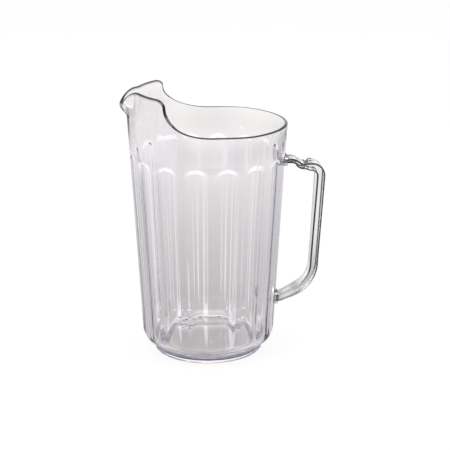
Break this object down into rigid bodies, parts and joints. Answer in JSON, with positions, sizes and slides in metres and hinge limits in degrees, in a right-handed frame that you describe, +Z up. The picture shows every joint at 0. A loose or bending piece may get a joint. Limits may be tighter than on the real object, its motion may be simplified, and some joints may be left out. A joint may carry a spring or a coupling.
{
  "type": "pitcher",
  "caption": "Clear moulded serving pitcher with a fluted conical body, a foot ring, a raised lip with a blunt pouring beak, and a strap handle seated in pads on the wall",
  "frame": {"origin": "in the plane that the foot ring stands on, under the middle of the overall box in plan", "axes": "+Z up, +X towards the handle, -X towards the pouring beak, +Y across the mouth"},
  "size_m": [0.1642, 0.1248, 0.2166],
  "materials": {
    "clear_shell": "clear, moulded and polished",
    "clear_handle": "clear, moulded and polished"
  },
  "bodies": {
    "root": {"body_shell": "clear_shell", "handle": "clear_handle"}
  },
  "joints": []
}
